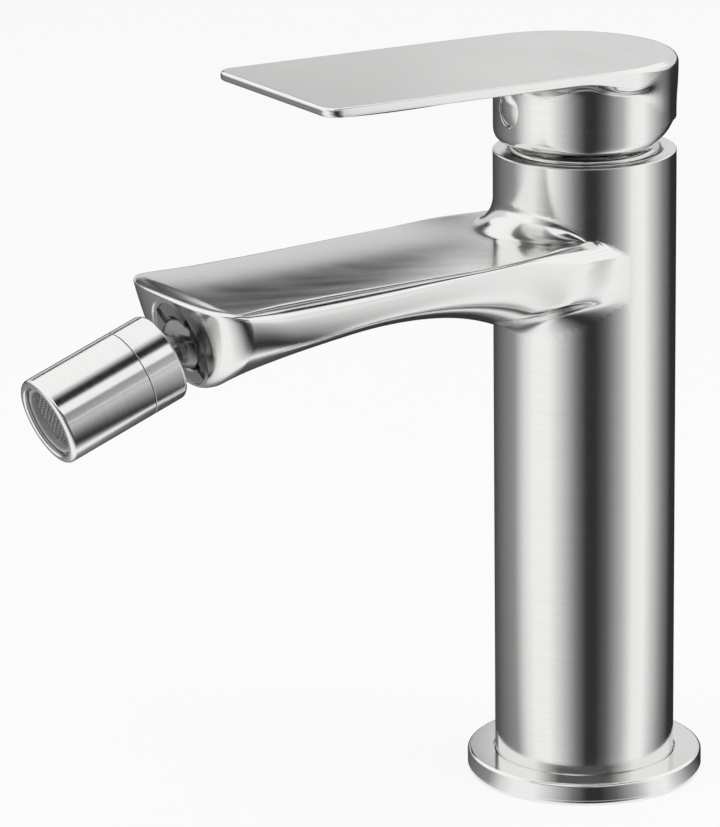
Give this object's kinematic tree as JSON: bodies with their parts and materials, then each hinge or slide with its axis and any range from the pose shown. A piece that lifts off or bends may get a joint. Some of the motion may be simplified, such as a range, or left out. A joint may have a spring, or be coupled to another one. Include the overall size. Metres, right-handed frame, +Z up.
{
  "type": "bidet mixer",
  "caption": "Single-lever deck-mounted bidet mixer in satin steel with a flat paddle lever, an arched flat-topped spout and a ball-jointed swivel nozzle",
  "frame": {"origin": "on the deck, at the mouth of the fixing hole on the column's axis", "axes": "+Z up along the column, -Y along the spout, +X to the right of someone facing the back of the spout"},
  "size_m": [0.059, 0.1834, 0.1865],
  "materials": {
    "satin_steel": "fine brushed satin",
    "bright_steel": "polished",
    "brass": "machined",
    "copper": "drawn tube",
    "seal_rubber": "matte",
    "white_plastic": "moulded",
    "grey_plastic": "moulded",
    "white_ceramic": "lapped ceramic",
    "dark_steel": "blackened",
    "mesh_steel": "woven wire"
  },
  "bodies": {
    "mixer": {"mixer_body": "satin_steel", "base_flange": "satin_steel", "deck_seal": "seal_rubber", "foot_block": "brass", "hot_tube": "copper", "cold_tube": "copper", "port_seals": "seal_rubber", "cartridge_base": "white_plastic", "fixed_disc": "white_ceramic", "cartridge_housing": "grey_plastic", "cartridge_nut": "brass", "dome_cover": "bright_steel", "ball_seal": "seal_rubber", "retaining_ring": "bright_steel"},
    "rotor": {"rotor": "white_plastic", "pivot_pin": "bright_steel"},
    "lever": {"lever_stem": "bright_steel", "handle": "satin_steel", "grub_screw": "dark_steel", "handle_plug": "satin_steel"},
    "disc": {"moving_disc": "white_ceramic", "disc_carrier": "grey_plastic"},
    "swivel": {"slip_ring": "white_plastic"},
    "nozzle": {"nozzle_ball": "bright_steel", "nozzle_collar": "satin_steel", "nozzle_sleeve": "satin_steel", "aerator_washer": "seal_rubber", "flow_straightener": "white_plastic", "aerator_housing": "grey_plastic", "aerator_mesh": "mesh_steel"}
  },
  "joints": [
    {"name": "temperature", "type": "hinge", "parent": "mixer", "child": "rotor", "pos_m": [0, 0, 0.156], "axis": [0, 0, 1], "range_deg": [-45, 45]},
    {"name": "lever_lift", "type": "hinge", "parent": "rotor", "child": "lever", "pos_m": [0, 0, 0.156], "axis": [-1, 0, 0], "range_deg": [0, 20]},
    {"name": "disc_slide", "type": "slide", "parent": "rotor", "child": "disc", "axis": [0, -1, 0], "range_m": [0, 0.0039]},
    {"name": "nozzle_swivel", "type": "hinge", "parent": "mixer", "child": "swivel", "pos_m": [0, -0.11144, 0.1295], "axis": [0, -0.9613, -0.2756], "continuous": true},
    {"name": "nozzle_tilt", "type": "hinge", "parent": "swivel", "child": "nozzle", "pos_m": [0, -0.11144, 0.1295], "axis": [-1, 0, 0], "range_deg": [-18, 26]}
  ],
  "couplings": [
    {"joint": "disc_slide", "follows": "lever_lift", "m_per_rad": 0.011}
  ]
}
